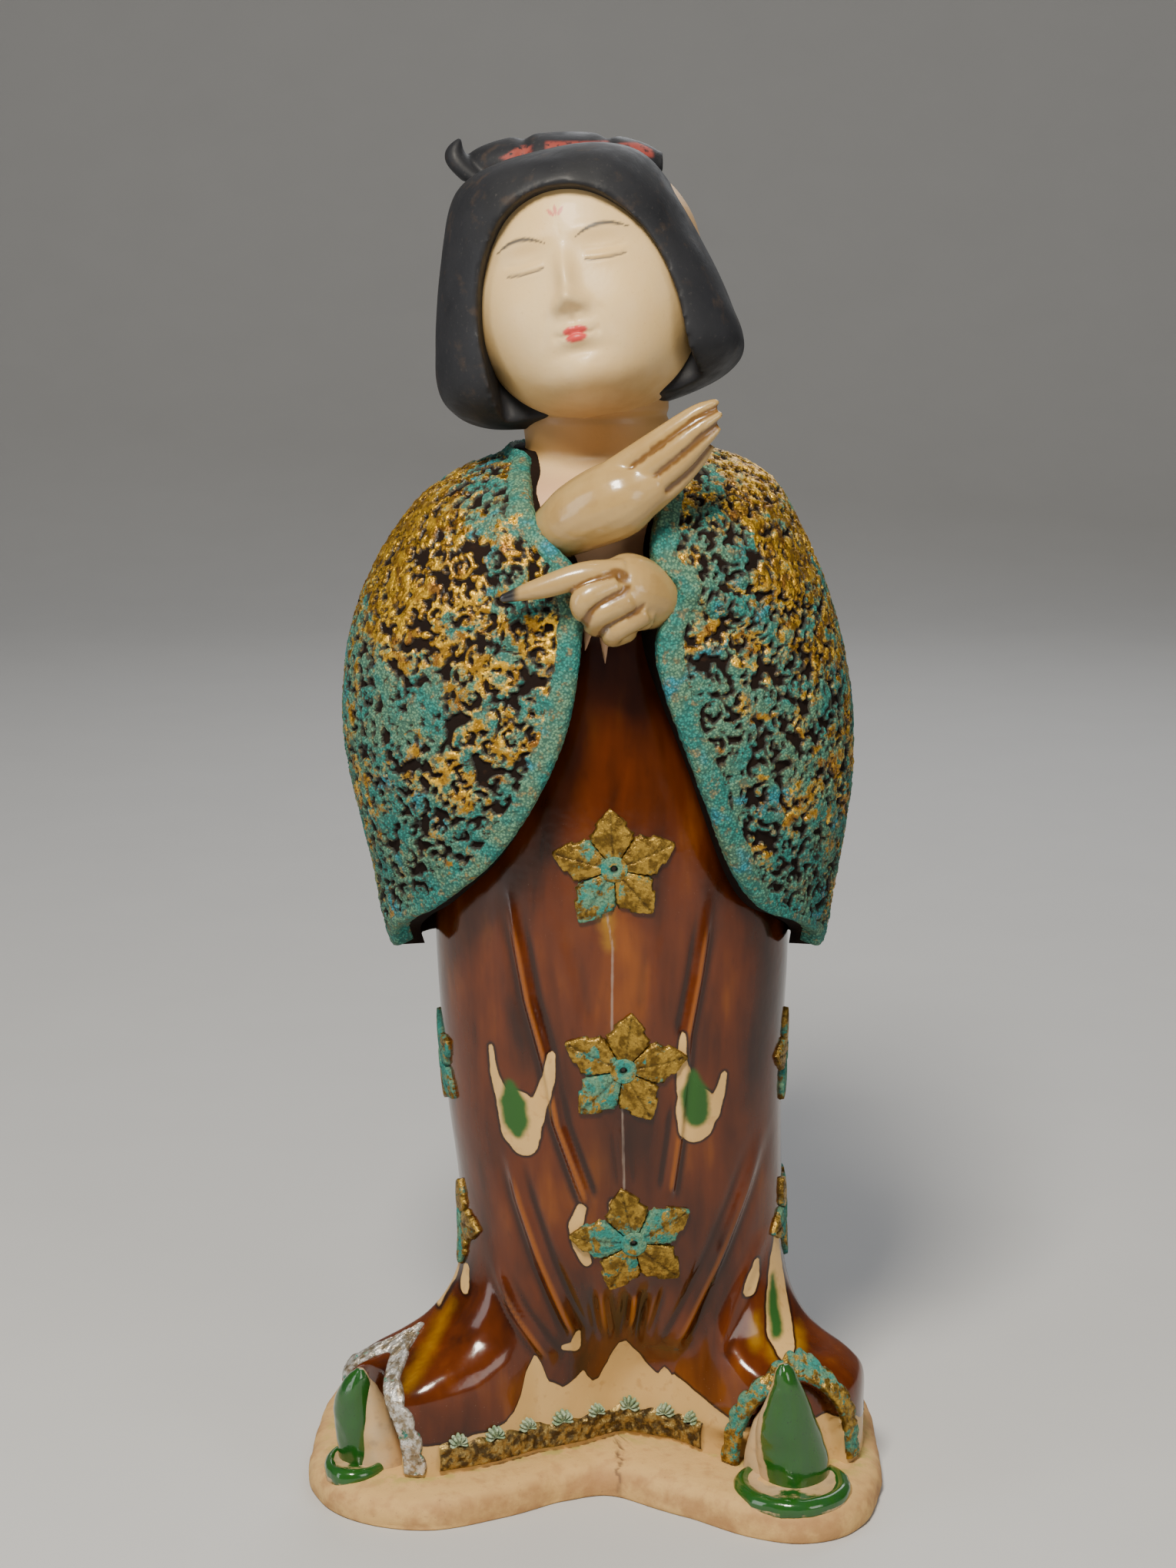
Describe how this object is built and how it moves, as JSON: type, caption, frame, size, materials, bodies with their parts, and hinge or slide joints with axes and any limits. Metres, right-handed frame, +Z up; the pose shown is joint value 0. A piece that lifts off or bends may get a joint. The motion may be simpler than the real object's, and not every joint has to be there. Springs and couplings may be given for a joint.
{
  "type": "glazed pottery court lady figure",
  "caption": "Standing court lady in amber and green glazed pottery, hands raised, wearing a gilt copper openwork jacket, flowers and hem bands, on a low unglazed base.",
  "frame": {"origin": "on the ground, in the middle of the base's bounding box", "axes": "+Z up, the figure faces -Y, +X is to the viewer's right"},
  "size_m": [0.1988, 0.1548, 0.4588],
  "materials": {
    "amber_glaze": "glossy amber glaze over pale pottery, standing in for ceramic",
    "gilt_copper": "worn gilding over copper",
    "verdigris_copper": "turquoise corrosion crust over copper"
  },
  "bodies": {
    "root": {"pottery_figure": "amber_glaze", "jacket_overlay_right": "gilt_copper", "jacket_overlay_left": "gilt_copper", "flower_upper": "gilt_copper", "flower_middle": "gilt_copper", "flower_lower": "gilt_copper", "flower_side_left_upper": "verdigris_copper", "flower_side_left_lower": "verdigris_copper", "flower_side_right_upper": "verdigris_copper", "flower_side_right_lower": "verdigris_copper", "flower_back_upper": "gilt_copper", "flower_back_lower": "gilt_copper", "hem_band_front": "gilt_copper", "hem_band_back": "gilt_copper", "shoe_arch_band_right": "verdigris_copper", "shoe_arch_band_left": "gilt_copper"}
  },
  "joints": []
}
